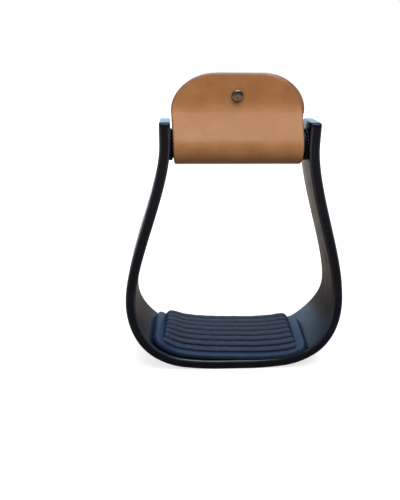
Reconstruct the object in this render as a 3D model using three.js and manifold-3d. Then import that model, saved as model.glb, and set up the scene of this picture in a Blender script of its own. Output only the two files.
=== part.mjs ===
// A western stirrup: a bell-shaped aluminium strip with parallel arm tops, a round bar welded
// between them, a leather wrap folded round the bar and closed by a two-part screw, and a ribbed
// rubber pad glued on the tread. Millimetres, +Z up, X from arm to arm, Y from front to back,
// origin on the floor under the middle of the tread.
import * as THREE from 'three';
import { mergeVertices } from 'three/addons/utils/BufferGeometryUtils.js';
import Module from 'manifold-3d';

const wasm = await Module();
wasm.setup();

// Clearance between pieces that touch, are glued or are welded, and the overrun of every cut
const seatGap = 0.3;
const overrun = 2;

// Frame: clear widths and height of the bell, and the bends of its outer face
const footWidth = 127;
const neckWidth = 80.3;
const frameHeight = 157;
const stripThickness = 6.35;
const restWidth = 18;
const treadRadius = 170;
const cornerRadius = 43.5;
const neckLength = 12.4;
const armSwellShare = 0.274;
const armNeckShare = 0.26;

// Frame: front-to-back depth of the strip, and its rounded edges
const treadDepth = 47.6;
const armRootDepth = 29.6;
const armTopDepth = 23.3;
const flareLow = 9.5;
const flareHigh = 56;
const edgeRadius = 1.4;
const armTopRadius = 2.4;
const armCapRadius = 1.2;

// Top bar
const barRadius = 8;
const barDrop = 14.1;

// Leather wrap: one strap folded round the bar, both flaps up; heights are above the bar's axis
const strapSideClearance = 2.15;
const leatherThickness = 3.3;
const flapGap = 0.5;
const flapMeetHeight = 25.4;
const flapTopHeight = 40.2;
const flapBendRadius = 14;
const flapCornerRadius = 22.5;
const leatherEdgeRadius = 0.8;
const leatherRingGap = 0.8;

// Fillet weld round each end of the bar, clear of the strap's edge
const weldClearance = 0.45;

// Two-part screw through both flaps: a domed post in front, a slotted screw behind
const screwHeight = 27.7;
const screwOffset = -1.8;
const headRadius = 3.5;
const headThickness = 1.5;
const headEdge = 0.5;
const threadRadius = 1.4;
const threadLength = 4.4;
const barrelWall = 0.7;
const recessRim = 1.2;
const recessDepth = 0.4;
const slotWidth = 0.9;
const slotDepth = 0.6;

// Tread pad: a sheet bent into the tread, with round ribs along it
const padLength = 106;
const padInset = 1.4;
const padThickness = 3;
const padCornerRadius = 6;
const padEdgeRadius = 0.7;
const ribCount = 8;
const ribOverlap = 0.25;
const frontRibFlank = 0.3;
const rearRibFlank = 3.6;
const ribCrown = 2.6;
const ribSink = 0.4;
const ribRunout = 9;
const ribEndShare = 0.4;
const endRim = 6;
const frontRim = 6.5;
const rearRim = 0.4;

const finishes = {
  frame: { color: 0x14171d, roughness: 0.42, metalness: 0.55 },
  weld: { color: 0x1a1c21, roughness: 0.5, metalness: 0.5 },
  leather: { color: 0xb98455, roughness: 0.55, metalness: 0 },
  nickel: { color: 0x9b9389, roughness: 0.25, metalness: 1 },
  rubber: { color: 0x1c222e, roughness: 0.6, metalness: 0 },
};

const frontward = new THREE.Vector3(0, -1, 0);
const rightward = new THREE.Vector3(1, 0, 0);

// Even steps from 0 to 1, starting at step number `first`
function steps(count, first = 0) {
  return Array.from({ length: count + 1 - first }, (_, i) => (i + first) / count);
}

function named(name, geometry, finish) {
  const mesh = new THREE.Mesh(geometry, new THREE.MeshStandardMaterial(finishes[finish]));
  mesh.name = name;
  return mesh;
}

function toSolid(geometry) {
  const bare = geometry.clone();
  bare.deleteAttribute('normal');
  bare.deleteAttribute('uv');
  const merged = mergeVertices(bare);
  return new wasm.Manifold(new wasm.Mesh({
    numProp: 3,
    vertProperties: new Float32Array(merged.attributes.position.array),
    triVerts: new Uint32Array(merged.index.array),
  }));
}

function toGeometry(solid) {
  const { vertProperties, triVerts } = solid.getMesh();
  const geometry = new THREE.BufferGeometry();
  geometry.setAttribute('position', new THREE.BufferAttribute(vertProperties, 3));
  geometry.setIndex(new THREE.BufferAttribute(triVerts, 1));
  geometry.computeVertexNormals();
  return geometry;
}

// Skin the rings from one station to the next, and close both ends with a fan.
function loft(rings) {
  const size = rings[0].length;
  const points = rings.flat();
  const triangles = [];
  rings.slice(1).forEach((_, k) => {
    for (let i = 0; i < size; i += 1) {
      const a = k * size + i;
      const b = k * size + (i + 1) % size;
      triangles.push(a, b, b + size, a, b + size, a + size);
    }
  });
  [0, rings.length - 1].forEach((k) => {
    const centre = new THREE.Vector3();
    rings[k].forEach((p) => centre.addScaledVector(p, 1 / size));
    points.push(centre);
    for (let i = 0; i < size; i += 1) {
      const edge = [k * size + i, k * size + (i + 1) % size];
      triangles.push(...(k === 0 ? edge.reverse() : edge), points.length - 1);
    }
  });
  const geometry = new THREE.BufferGeometry();
  const places = points.flatMap((p) => p.toArray());
  geometry.setAttribute('position', new THREE.Float32BufferAttribute(places, 3));
  geometry.setIndex(triangles);
  geometry.computeVertexNormals();
  return geometry;
}

// Rounded rectangle across a path; a station has its centre `at` and its thickness direction `up`.
function stripRing(station, side, halfThickness, halfWidth, radius) {
  const corners = [[1, 1], [-1, 1], [-1, -1], [1, -1]];
  return corners.flatMap(([u, v], corner) => steps(3).map((k) => {
    const angle = (corner + k) * Math.PI / 2;
    const rise = u * (halfThickness - radius) + radius * Math.cos(angle);
    const reach = v * (halfWidth - radius) + radius * Math.sin(angle);
    return station.at.clone().addScaledVector(station.up, rise).addScaledVector(side, reach);
  }));
}

// Arch across a path: half an oval on two upright flanks, with its root below the station
function archRing(station, side, flank, crown, root, halfWidth) {
  const arch = steps(6).map((k) => {
    const angle = (k - 1 / 2) * Math.PI;
    return [halfWidth * Math.sin(angle), flank + crown * Math.cos(angle)];
  });
  return [...arch, [halfWidth, -root], [-halfWidth, -root]].map(([reach, rise]) => station.at.clone()
    .addScaledVector(station.up, rise)
    .addScaledVector(side, reach));
}

// Half width of a strip near an end with quarter-round corners, `inward` from that end
function roundedHalf(half, radius, inward) {
  const into = Math.max(radius - inward, 0);
  return half - radius + Math.sqrt(radius * radius - into * into);
}

// Bell-shaped frame: the outer face is a short flat to rest on, a shallow tread arc, a tight
// corner arc, one smooth curve up the arm and a straight neck. Its depth swells at the tread.
const outerHalf = footWidth / 2 + stripThickness;
const neckOuterHalf = neckWidth / 2 + stripThickness;
const restHalf = restWidth / 2;
const treadTurn = Math.asin((outerHalf - restHalf - cornerRadius) / (treadRadius - cornerRadius));
const cornerX = restHalf + (treadRadius - cornerRadius) * Math.sin(treadTurn);
const cornerZ = treadRadius - (treadRadius - cornerRadius) * Math.cos(treadTurn);

function depthAt(z) {
  const arm = THREE.MathUtils.lerp(armRootDepth, armTopDepth, z / frameHeight);
  return THREE.MathUtils.lerp(treadDepth, arm, THREE.MathUtils.smoothstep(z, flareLow, flareHigh));
}

// Outer face of the right half, from the rest flat up to the arm's top
function outerFace() {
  const tread = steps(3).map((k) => {
    const turn = k * treadTurn;
    return { x: restHalf + treadRadius * Math.sin(turn), z: treadRadius * (1 - Math.cos(turn)), turn };
  });
  const corner = steps(11, 1).map((k) => {
    const turn = THREE.MathUtils.lerp(treadTurn, Math.PI / 2, k);
    const x = cornerX + cornerRadius * Math.sin(turn);
    return { x, z: cornerZ - cornerRadius * Math.cos(turn), turn };
  });
  const neckZ = frameHeight - neckLength;
  const rise = neckZ - cornerZ;
  const arm = new THREE.CubicBezierCurve(
    new THREE.Vector2(outerHalf, cornerZ),
    new THREE.Vector2(outerHalf, cornerZ + armSwellShare * rise),
    new THREE.Vector2(neckOuterHalf, neckZ - armNeckShare * rise),
    new THREE.Vector2(neckOuterHalf, neckZ),
  );
  const side = steps(15, 1).map((k) => {
    const point = arm.getPoint(k);
    return { x: point.x, z: point.y, turn: arm.getTangent(k).angle() };
  });
  const top = steps(5).map((k) => {
    const angle = k * Math.PI / 2;
    const z = frameHeight - armTopRadius * (1 - Math.sin(angle));
    const overCap = Math.max(z - frameHeight + armCapRadius, 0);
    const capInset = armCapRadius - Math.sqrt(armCapRadius * armCapRadius - overCap * overCap);
    const depthInset = armTopRadius * (1 - Math.cos(angle));
    return { x: neckOuterHalf, z, turn: Math.PI / 2, depthInset, capInset };
  });
  return [...tread, ...corner, ...side, ...top];
}

function makeFrame() {
  const ring = (hand) => ({ x, z, turn, depthInset = 0, capInset = 0 }) => {
    const up = new THREE.Vector3(-hand * Math.sin(turn), 0, Math.cos(turn));
    const at = new THREE.Vector3(hand * x, 0, z).addScaledVector(up, stripThickness / 2);
    const halfDepth = depthAt(z) / 2 - depthInset;
    return stripRing({ at, up }, frontward, stripThickness / 2 - capInset, halfDepth, edgeRadius);
  };
  const face = outerFace();
  return loft([...face.map(ring(-1)).reverse(), ...face.map(ring(1))]);
}

// Top bar between the arms, on an axis that the leather and its screw also follow
const barHeight = frameHeight - barDrop;
const barHalf = neckWidth / 2 - seatGap;

function makeBar() {
  return new THREE.CylinderGeometry(barRadius, barRadius, 2 * barHalf, 40);
}

// Fillet weld: a ring with a hollow face, revolved on the bar's axis
function makeWeld() {
  const inner = barRadius + seatGap;
  const leg = strapSideClearance - seatGap - weldClearance;
  const hollow = steps(4).map((k) => {
    const angle = k * Math.PI / 2;
    return new THREE.Vector2(inner + leg * (1 - Math.sin(angle)), leg * (1 - Math.cos(angle)));
  });
  const foot = new THREE.Vector2(inner, 0);
  return new THREE.LatheGeometry([foot, ...hollow, foot], 40);
}

// Leather wrap: the strap's middle line runs round the bar, along a leaning straight, through a
// reverse bend and up the flap. `along` is the distance from under the bar, on the rear side.
const wrapRadius = barRadius + seatGap + leatherThickness / 2;
const flapOffset = flapGap / 2 + leatherThickness / 2;
const bendY = flapOffset + flapBendRadius;
const bendReach = Math.hypot(bendY, flapMeetHeight);
const bothRadii = wrapRadius + flapBendRadius;
const leanLength = Math.sqrt(bendReach * bendReach - bothRadii * bothRadii);
const wrapTurn = Math.atan2(flapMeetHeight, bendY) + Math.atan2(bothRadii, leanLength);
const leanStart = wrapRadius * wrapTurn;
const bendStart = leanStart + leanLength;
const flapStart = bendStart + flapBendRadius * (wrapTurn - Math.PI / 2);
const flapEnd = flapStart + flapTopHeight - flapMeetHeight;
const strapHalf = neckWidth / 2 - strapSideClearance;

function wrapLine(along) {
  if (along <= leanStart) {
    const turn = along / wrapRadius;
    return { y: wrapRadius * Math.sin(turn), z: -wrapRadius * Math.cos(turn), turn };
  }
  if (along <= bendStart) {
    const y = wrapRadius * Math.sin(wrapTurn) + (along - leanStart) * Math.cos(wrapTurn);
    const z = -wrapRadius * Math.cos(wrapTurn) + (along - leanStart) * Math.sin(wrapTurn);
    return { y, z, turn: wrapTurn };
  }
  if (along <= flapStart) {
    const turn = wrapTurn - (along - bendStart) / flapBendRadius;
    const y = bendY - flapBendRadius * Math.sin(turn);
    return { y, z: flapMeetHeight + flapBendRadius * Math.cos(turn), turn };
  }
  return { y: flapOffset, z: flapMeetHeight + along - flapStart, turn: Math.PI / 2 };
}

function screwAxis(geometry) {
  return geometry.translate(screwOffset, 0, barHeight + screwHeight);
}

const barrelRadius = threadRadius + seatGap + barrelWall;
const flapFace = flapGap / 2 + leatherThickness;

function makeLeather() {
  const bends = [
    ...steps(8).map((k) => k * leanStart),
    ...steps(2, 1).map((k) => THREE.MathUtils.lerp(leanStart, bendStart, k)),
    ...steps(3, 1).map((k) => THREE.MathUtils.lerp(bendStart, flapStart, k)),
  ];
  const ends = steps(9).map((k) => flapEnd - flapCornerRadius * (1 - Math.cos(k * Math.PI / 2)));
  const clear = bends.filter((along) => ends.every((end) => Math.abs(end - along) > leatherRingGap));
  const places = [...clear, ...ends].sort((a, b) => a - b);
  const ring = (hand) => (along) => {
    const { y, z, turn } = wrapLine(along);
    const station = {
      at: new THREE.Vector3(0, hand * y, barHeight + z),
      up: new THREE.Vector3(0, -hand * Math.sin(turn), Math.cos(turn)),
    };
    const half = roundedHalf(strapHalf, flapCornerRadius, flapEnd - along);
    return stripRing(station, rightward, leatherThickness / 2, half, leatherEdgeRadius);
  };
  const strap = toSolid(loft([...places.slice(1).map(ring(-1)).reverse(), ...places.map(ring(1))]));
  const holeRadius = barrelRadius + seatGap;
  const hole = new THREE.CylinderGeometry(holeRadius, holeRadius, 2 * (flapFace + overrun), 20);
  return toGeometry(strap.subtract(toSolid(screwAxis(hole))));
}

// Two-part screw, revolved on an axis from front to back
const underHead = flapFace + seatGap;
const threadEnd = underHead - threadLength;
const dome = steps(5).map((k) => k * Math.PI / 2)
  .map((angle) => ({ out: Math.sin(angle), rise: Math.cos(angle) }));

function makeScrewPost() {
  const crown = dome.map(({ out, rise }) => new THREE.Vector2(
    headRadius * out, -underHead - headEdge - (headThickness - headEdge) * rise));
  const boreRadius = threadRadius + seatGap;
  const profile = [
    ...crown,
    new THREE.Vector2(headRadius, -underHead),
    new THREE.Vector2(barrelRadius, -underHead),
    new THREE.Vector2(barrelRadius, flapFace),
    new THREE.Vector2(boreRadius, flapFace),
    new THREE.Vector2(boreRadius, threadEnd - seatGap),
    new THREE.Vector2(0, threadEnd - seatGap),
  ];
  return screwAxis(new THREE.LatheGeometry(profile, 32));
}

function makeScrew() {
  const top = underHead + headThickness;
  const recessRadius = headRadius - recessRim;
  const roundEdge = [...dome].reverse().map(({ out, rise }) => new THREE.Vector2(
    headRadius - headEdge * (1 - out), top - headEdge * (1 - rise)));
  const profile = [
    new THREE.Vector2(0, threadEnd),
    new THREE.Vector2(threadRadius, threadEnd),
    new THREE.Vector2(threadRadius, underHead),
    new THREE.Vector2(headRadius, underHead),
    ...roundEdge,
    new THREE.Vector2(recessRadius, top),
    new THREE.Vector2(recessRadius - recessDepth, top - recessDepth),
    new THREE.Vector2(0, top - recessDepth),
  ];
  const slotHeight = slotDepth + overrun;
  const slot = new THREE.BoxGeometry(2 * (recessRadius - recessDepth), slotHeight, slotWidth)
    .translate(0, top - recessDepth - slotDepth + slotHeight / 2, 0);
  const head = toSolid(new THREE.LatheGeometry(profile, 32)).subtract(toSolid(slot));
  return screwAxis(toGeometry(head));
}

// Inner face of the tread: `along` is measured on it from the middle, `lift` stands off it.
function treadStation(along, lift) {
  const hand = Math.sign(along) || 1;
  const far = Math.abs(along);
  const treadInner = treadRadius - stripThickness;
  const arcEnd = restHalf + treadInner * treadTurn;
  const place = (x, z, turn) => ({
    at: new THREE.Vector3(hand * x, 0, z),
    up: new THREE.Vector3(-hand * Math.sin(turn), 0, Math.cos(turn)),
  });
  if (far <= restHalf) {
    return place(far, stripThickness + lift, 0);
  }
  if (far <= arcEnd) {
    const turn = (far - restHalf) / treadInner;
    const radius = treadInner - lift;
    return place(restHalf + radius * Math.sin(turn), treadRadius - radius * Math.cos(turn), turn);
  }
  const cornerInner = cornerRadius - stripThickness;
  const turn = treadTurn + (far - arcEnd) / cornerInner;
  const radius = cornerInner - lift;
  return place(cornerX + radius * Math.sin(turn), cornerZ - radius * Math.cos(turn), turn);
}

// Places along a strip of half length `half`: close together in its round ends, even between
function endedPlaces(half, radius, endSteps, midSteps, firstStep) {
  const straight = half - radius;
  const end = steps(endSteps, firstStep).map((k) => straight + radius * Math.cos(k * Math.PI / 2));
  const middle = steps(midSteps, 1).slice(0, -1).map((k) => (2 * k - 1) * straight);
  return [...end.map((along) => -along), ...middle, ...end.reverse()];
}

// Tread pad: the sheet and its ribs follow the tread; each rib is an arch with round ends, rooted
// in the sheet, and its flanks run into the next rib's. The front ribs are low and the rear ones
// high, and all of them fall away towards their ends.
function makeTreadPad() {
  const padHalf = padLength / 2;
  const padDepth = treadDepth - 2 * padInset;
  const sheetRings = endedPlaces(padHalf, padCornerRadius, 4, 17, 0).map((along) => {
    const half = roundedHalf(padDepth / 2, padCornerRadius, padHalf - Math.abs(along));
    const station = treadStation(along, seatGap + padThickness / 2);
    return stripRing(station, frontward, padThickness / 2, half, padEdgeRadius);
  });
  const pitch = (padDepth - frontRim - rearRim) / ribCount;
  const ribHalf = (pitch + ribOverlap) / 2;
  const ribLength = padHalf - endRim;
  const foremost = padDepth / 2 - frontRim - pitch / 2;
  const rearmost = rearRim + pitch / 2 - padDepth / 2;
  let pad = toSolid(loft(sheetRings));
  steps(ribCount - 1).forEach((k) => {
    const forward = THREE.MathUtils.lerp(foremost, rearmost, k);
    const flank = THREE.MathUtils.lerp(frontRibFlank, rearRibFlank, 1 - (1 - k) * (1 - k));
    const rings = endedPlaces(ribLength, ribHalf, 5, 17, 1).map((along) => {
      const into = Math.max(ribHalf - ribLength + Math.abs(along), 0) / ribHalf;
      const swell = Math.sqrt(1 - into * into);
      const station = treadStation(along, seatGap + padThickness);
      station.at.addScaledVector(frontward, forward);
      const runout = Math.max(ribRunout - ribLength + Math.abs(along), 0) / ribRunout;
      const shoulder = flank * (1 - (1 - ribEndShare) * runout * runout);
      return archRing(station, frontward, shoulder, swell * ribCrown, ribSink, swell * ribHalf);
    });
    pad = pad.add(toSolid(loft(rings)));
  });
  return toGeometry(pad);
}

const stirrup = new THREE.Group();

const topBar = named('top_bar', makeBar(), 'frame');
topBar.rotation.z = Math.PI / 2;
topBar.position.z = barHeight;

[['weld_bead_left', -1], ['weld_bead_right', 1]].forEach(([name, hand]) => {
  const weld = named(name, makeWeld(), 'weld');
  weld.rotation.z = hand * Math.PI / 2;
  weld.position.set(hand * barHalf, 0, barHeight);
  stirrup.add(weld);
});

stirrup.add(
  named('frame', makeFrame(), 'frame'),
  topBar,
  named('leather_wrap', makeLeather(), 'leather'),
  named('screw_post', makeScrewPost(), 'nickel'),
  named('screw', makeScrew(), 'nickel'),
  named('tread_pad', makeTreadPad(), 'rubber'),
);

export default stirrup;
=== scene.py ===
import bmesh
import bpy
import numpy as np
from mathutils import Matrix, Vector


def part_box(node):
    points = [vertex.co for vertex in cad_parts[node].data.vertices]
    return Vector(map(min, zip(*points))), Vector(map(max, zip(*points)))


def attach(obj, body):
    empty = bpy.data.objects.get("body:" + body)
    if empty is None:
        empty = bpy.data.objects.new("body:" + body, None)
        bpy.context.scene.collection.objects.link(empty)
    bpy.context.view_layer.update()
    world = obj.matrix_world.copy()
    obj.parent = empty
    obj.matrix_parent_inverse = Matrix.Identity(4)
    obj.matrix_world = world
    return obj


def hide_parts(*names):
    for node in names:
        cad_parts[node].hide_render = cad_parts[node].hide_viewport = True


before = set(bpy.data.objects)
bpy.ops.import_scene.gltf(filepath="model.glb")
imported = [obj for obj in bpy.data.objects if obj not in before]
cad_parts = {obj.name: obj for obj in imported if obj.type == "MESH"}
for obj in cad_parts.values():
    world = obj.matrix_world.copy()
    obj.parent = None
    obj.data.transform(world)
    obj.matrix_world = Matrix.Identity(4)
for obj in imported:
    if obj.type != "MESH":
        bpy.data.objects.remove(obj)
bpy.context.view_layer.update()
mm = 0.001


# The photograph was taken from close in front of the stirrup, a little left of its middle and
# higher than it, with the camera tilted down at the tread.
eye = Vector((-36.2, -299.7, 197.1)) * mm
turn_left, tilt_down, roll = -0.0470, 0.3858, 0.0087
focal_share = 503.5 / 500
film_width = 36
nearest_seen = 10 * mm

camera = bpy.data.objects.new("camera", bpy.data.cameras.new("camera"))
bpy.context.scene.collection.objects.link(camera)
bpy.context.scene.camera = camera
camera.data.sensor_width = film_width
camera.data.lens = film_width * focal_share
camera.data.clip_start = nearest_seen
camera.matrix_world = (
    Matrix.Translation(eye)
    @ Matrix.Rotation(turn_left, 4, "Z")
    @ Matrix.Rotation(np.pi / 2 - tilt_down, 4, "X")
    @ Matrix.Rotation(roll, 4, "Z")
)


# The stage: a pale floor and a white surround under broad soft lamps above, in front and behind, as
# out of doors on a bright day. Gloss on the stirrup mirrors a blue sky behind and above it, a
# dimmer and paler one in front, and warm ground that is dark close by.
light_level = 0.32
front_level, rear_level = 0.15, 1.0
dim_until, bright_from = -0.7, 0.3
front_sky, rear_sky = (0.72, 0.82, 1, 1), (0.34, 0.62, 1, 1)
pale_until, blue_from = 0.2, 0.8
white = (1, 1, 1, 1)
floor_half_width = 3.0
floor_roughness = 0.9
floor_colour, mirrored_floor_colour = (0.46, 0.42, 0.37, 1), (0.23, 0.18, 0.14, 1)
mirrored_glow_colour = (1, 0.92, 0.82, 1)
near_glow = 0.72
glow_start, glow_end = 0.2, 1.0
mirrored_glow_start, mirrored_glow_end = 0.1, 0.7
lamp_target = Vector((0, 0, 90)) * mm


def add(tree, kind, inputs=None, **settings):
    """A node of that kind, with its settings, and its inputs as values or as links from sockets."""
    made = tree.nodes.new(kind)
    for key, value in settings.items():
        setattr(made, key, value)
    for key, value in (inputs or {}).items():
        if isinstance(value, bpy.types.NodeSocket):
            tree.links.new(value, made.inputs[key])
        else:
            made.inputs[key].default_value = value
    return made


def multiplied(tree, first, second):
    """The socket of a product."""
    return add(tree, "ShaderNodeMath", {0: first, 1: second}, operation="MULTIPLY").outputs[0]


def blend_colour(tree, factor, first, second):
    """The socket of a mix of two colours, from the first at 0 to the second at 1."""
    return add(tree, "ShaderNodeMix", {0: factor, 6: first, 7: second}, data_type="RGBA").outputs[2]


def scaled(tree, value, low=0.0, high=1.0, start=0.0, end=1.0, shape="LINEAR"):
    """The socket of a value that goes from low, where the given one is at its start, to high."""
    return add(tree, "ShaderNodeMapRange", {
        "Value": value, "From Min": start, "From Max": end, "To Min": low, "To Max": high},
        interpolation_type=shape).outputs[0]


def eased(tree, value, start, end, low=0.0, high=1.0):
    """As scaled, but by a smooth step."""
    return scaled(tree, value, low, high, start, end, shape="SMOOTHSTEP")


def new_material(name, **plain_inputs):
    """A material, its tree and its Principled shader, with these inputs set on the shader."""
    material = bpy.data.materials.new(name)
    material.use_nodes = True
    tree = material.node_tree
    shader = tree.nodes["Principled BSDF"]
    for key, value in plain_inputs.items():
        shader.inputs[key.replace("_", " ")].default_value = value
    return material, tree, shader


bpy.context.scene.view_settings.view_transform = "Standard"
world = bpy.data.worlds.new("surround")
world.use_nodes = True
bpy.context.scene.world = world
sky = world.node_tree
sky_rays = add(sky, "ShaderNodeLightPath").outputs
shown = add(sky, "ShaderNodeMath", {
    0: sky_rays["Is Camera Ray"], 1: sky_rays["Is Transmission Ray"]}, operation="MAXIMUM")
plain_level = scaled(sky, shown.outputs[0], low=light_level)
direction = add(sky, "ShaderNodeSeparateXYZ", {
    0: add(sky, "ShaderNodeTexCoord").outputs["Generated"]}).outputs
mirrored_level = eased(sky, direction["Y"], dim_until, bright_from, low=front_level, high=rear_level)
level = add(sky, "ShaderNodeMix", {
    "Factor": sky_rays["Is Glossy Ray"], "A": plain_level, "B": mirrored_level})
rear_or_up = add(sky, "ShaderNodeMath", {0: direction["Y"], 1: direction["Z"]}, operation="MAXIMUM")
rear_share = eased(sky, rear_or_up.outputs[0], pale_until, blue_from)
mirrored_sky = blend_colour(sky, rear_share, front_sky, rear_sky)
surround = sky.nodes["Background"]
sky.links.new(blend_colour(sky, sky_rays["Is Glossy Ray"], white, mirrored_sky),
              surround.inputs["Color"])
sky.links.new(level.outputs[0], surround.inputs["Strength"])

floor_corners = [(floor_half_width * x, floor_half_width * y, 0)
                 for x, y in ((-1, -1), (1, -1), (1, 1), (-1, 1))]
floor_mesh = bpy.data.meshes.new("floor")
floor_mesh.from_pydata(floor_corners, [], [(0, 1, 2, 3)])
floor = bpy.data.objects.new("floor", floor_mesh)
bpy.context.scene.collection.objects.link(floor)
floor_paint, paint, floor_shader = new_material("pale_floor", Roughness=floor_roughness)
floor_rays = add(paint, "ShaderNodeLightPath").outputs
reach = add(paint, "ShaderNodeVectorMath", {
    0: add(paint, "ShaderNodeTexCoord").outputs["Object"]}, operation="LENGTH").outputs["Value"]
seen_glow = scaled(paint, reach, low=near_glow, start=glow_start, end=glow_end)
mirrored_glow = scaled(paint, reach, start=mirrored_glow_start, end=mirrored_glow_end)
glow = add(paint, "ShaderNodeMath", {
    0: mirrored_glow, 1: floor_rays["Is Glossy Ray"],
    2: multiplied(paint, seen_glow, floor_rays["Is Camera Ray"])}, operation="MULTIPLY_ADD")
for key, socket in (
        ("Base Color", blend_colour(paint, floor_rays["Is Glossy Ray"], floor_colour,
                                    mirrored_floor_colour)),
        ("Emission Color", blend_colour(paint, floor_rays["Is Glossy Ray"], white,
                                        mirrored_glow_colour)),
        ("Emission Strength", glow.outputs[0])):
    paint.links.new(socket, floor_shader.inputs[key])
floor_mesh.materials.append(floor_paint)


def add_lamp(name, place, size, power, colour):
    """A square area lamp that faces the middle of the stirrup."""
    lamp = bpy.data.objects.new(name, bpy.data.lights.new(name, "AREA"))
    bpy.context.scene.collection.objects.link(lamp)
    lamp.data.size = size
    lamp.data.energy = power
    lamp.data.color = colour
    lamp.location = place
    lamp.rotation_euler = (lamp.location - lamp_target).to_track_quat("Z", "Y").to_euler()


add_lamp("sky_lamp", (0.1, -0.2, 1.1), size=0.9, power=17, colour=(0.95, 0.98, 1.0))
add_lamp("front_lamp", (-0.5, -1.1, 0.7), size=0.9, power=0.8, colour=(1.0, 0.97, 0.93))
add_lamp("rear_lamp", (-0.1, 1.1, 0.5), size=1.3, power=13, colour=(0.62, 0.83, 1.0))


# The strip: one length of flat aluminium bar, forged wide where the foot rests, bent to a bell with
# parallel arm tops, and coated satin black. Its long edges and its ends are rounded over.
strip_low, strip_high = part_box("frame")
outer_half = strip_high.x
arm_top = strip_high.z
tread_depth = strip_high.y - strip_low.y
strip_thickness = 6.35 * mm
neck_half = 80.3 * mm / 2
rest_half = 9 * mm
tread_radius = 170 * mm
corner_radius = 43.5 * mm
neck_length = 12.4 * mm
arm_swell_share, arm_neck_share = 0.274, 0.26
arm_root_depth = 29.6 * mm
arm_top_depth = 23.3 * mm
flare_low, flare_high = 9.5 * mm, 56 * mm
strip_edge_radius = 1.4 * mm
arm_top_radius = 2.4 * mm
arm_cap_radius = 1.2 * mm
flat_steps, tread_steps, corner_steps, arm_steps, neck_steps = 8, 24, 60, 100, 16
strip_rings, cap_steps, edge_steps = 461, 9, 7
merge_distance = 0.0005 * mm

tread_turn = np.arcsin((outer_half - rest_half - corner_radius) / (tread_radius - corner_radius))
corner_x = rest_half + (tread_radius - corner_radius) * np.sin(tread_turn)
corner_z = tread_radius - (tread_radius - corner_radius) * np.cos(tread_turn)


def strip_line():
    """Outer face of the right half, as arrays of distance from the middle, x, z and turn.

    A short flat, an arc of tread_radius, an arc of corner_radius, then a cubic curve whose ends
    stand upright, with its handles set by shares of its rise, and the straight neck above it. The
    turn is the angle of the path from level, and the slope is a third of the curve's derivative.
    """
    flat = np.linspace(0, 1, flat_steps, endpoint=False)
    tread = np.linspace(0, tread_turn, tread_steps, endpoint=False)
    corner = np.linspace(tread_turn, np.pi / 2, corner_steps, endpoint=False)
    rise = arm_top - neck_length - corner_z
    handles = np.array([[outer_half, corner_z],
                        [outer_half, corner_z + arm_swell_share * rise],
                        [neck_half + strip_thickness, corner_z + (1 - arm_neck_share) * rise],
                        [neck_half + strip_thickness, corner_z + rise]])
    k = np.linspace(0, 1, arm_steps)[:, None]
    arm = ((1 - k) ** 3 * handles[0] + 3 * (1 - k) ** 2 * k * handles[1]
           + 3 * (1 - k) * k ** 2 * handles[2] + k ** 3 * handles[3])
    slope = ((1 - k) ** 2 * (handles[1] - handles[0]) + 2 * (1 - k) * k * (handles[2] - handles[1])
             + k ** 2 * (handles[3] - handles[2]))
    neck = np.linspace(0, 1, neck_steps)[1:]
    x = np.concatenate([flat * rest_half, rest_half + tread_radius * np.sin(tread),
                        corner_x + corner_radius * np.sin(corner), arm[:, 0],
                        np.full_like(neck, neck_half + strip_thickness)])
    z = np.concatenate([flat * 0, tread_radius * (1 - np.cos(tread)),
                        corner_z - corner_radius * np.cos(corner), arm[:, 1],
                        corner_z + rise + neck * neck_length])
    turn = np.concatenate([flat * 0, tread, corner, np.arctan2(slope[:, 1], slope[:, 0]),
                           np.full_like(neck, np.pi / 2)])
    distance = np.concatenate([[0], np.cumsum(np.hypot(np.diff(x), np.diff(z)))])
    return distance, x, z, turn


line_distance, line_x, line_z, line_turn = strip_line()
strip_half_length = line_distance[-1]


def strip_half_depth(z):
    """Half the strip's depth at a height: a straight taper up the arm, from arm_root_depth.

    From flare_high down to flare_low it swells to the tread's depth by 3 k^2 - 2 k^3.
    """
    arm = arm_root_depth + (arm_top_depth - arm_root_depth) * z / arm_top
    k = np.clip((z - flare_low) / (flare_high - flare_low), 0, 1)
    return (tread_depth + (arm - tread_depth) * k * k * (3 - 2 * k)) / 2


def on_outer_face(along, across, out):
    """Points at a distance along the outer face from its middle, across it to the front, and out."""
    far = np.abs(along)
    side = np.where(along < 0, -1.0, 1.0)
    x, z, turn = (np.interp(far, line_distance, values) for values in (line_x, line_z, line_turn))
    return np.stack(np.broadcast_arrays(side * (x + out * np.sin(turn)), -across,
                                        z - out * np.cos(turn)), axis=-1)


def rounded_ring(half_rise, half_reach, radius, steps):
    """Rise and reach round a rounded rectangle: four quarter circles, with `steps` points on each."""
    angle = ((np.arange(4)[:, None] + np.linspace(0, 1, steps)) * np.pi / 2).ravel()
    signs = np.repeat([[1, 1], [-1, 1], [-1, -1], [1, -1]], steps, axis=0)
    rise = signs[:, 0] * (half_rise - radius) + radius * np.cos(angle)
    reach = signs[:, 1] * (half_reach - radius) + radius * np.sin(angle)
    return rise, reach


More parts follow.
